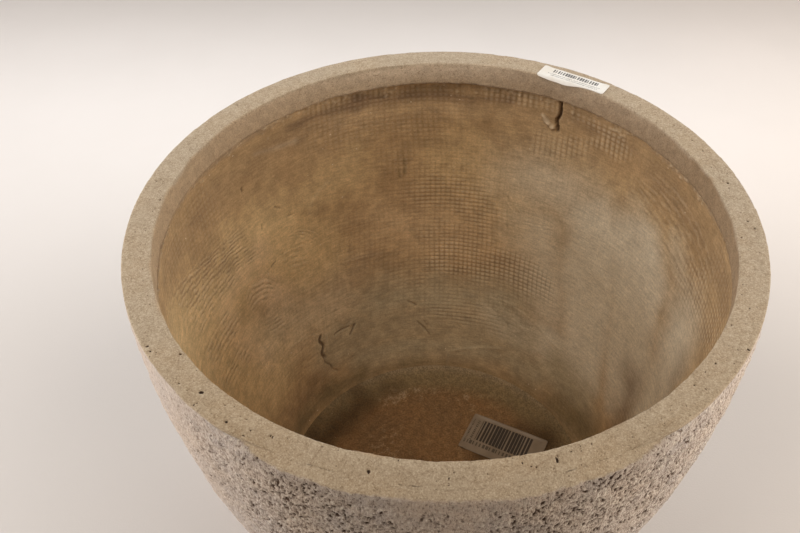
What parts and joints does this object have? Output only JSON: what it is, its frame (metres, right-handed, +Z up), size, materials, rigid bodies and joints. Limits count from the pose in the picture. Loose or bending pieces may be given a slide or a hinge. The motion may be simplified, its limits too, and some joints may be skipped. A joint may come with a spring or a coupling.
{
  "type": "round floor planter",
  "caption": "Round tapering floor planter in hand-laid fibre cement, with a thick flat sanded rim, a pitted stone-like outer wall, an undercut lip, a coved floor and a drain hole.",
  "frame": {"origin": "middle of the foot's underside, on the ground", "axes": "+Z up the pot's axis, -Y towards the side that the picture is taken from, +X to that view's right"},
  "size_m": [0.4, 0.4, 0.3303],
  "materials": {
    "face_coat": "matte",
    "rim_band": "matte",
    "glass_net": "matte",
    "wall_backing": "matte",
    "floor_bed": "matte",
    "label_paper": "satin"
  },
  "bodies": {
    "root": {"face_coat": "face_coat", "wall_net": "glass_net", "floor_net": "glass_net", "wall_backing": "wall_backing", "floor_bed": "floor_bed", "rim_band": "rim_band", "rim_label": "label_paper", "floor_label": "label_paper"}
  },
  "joints": []
}
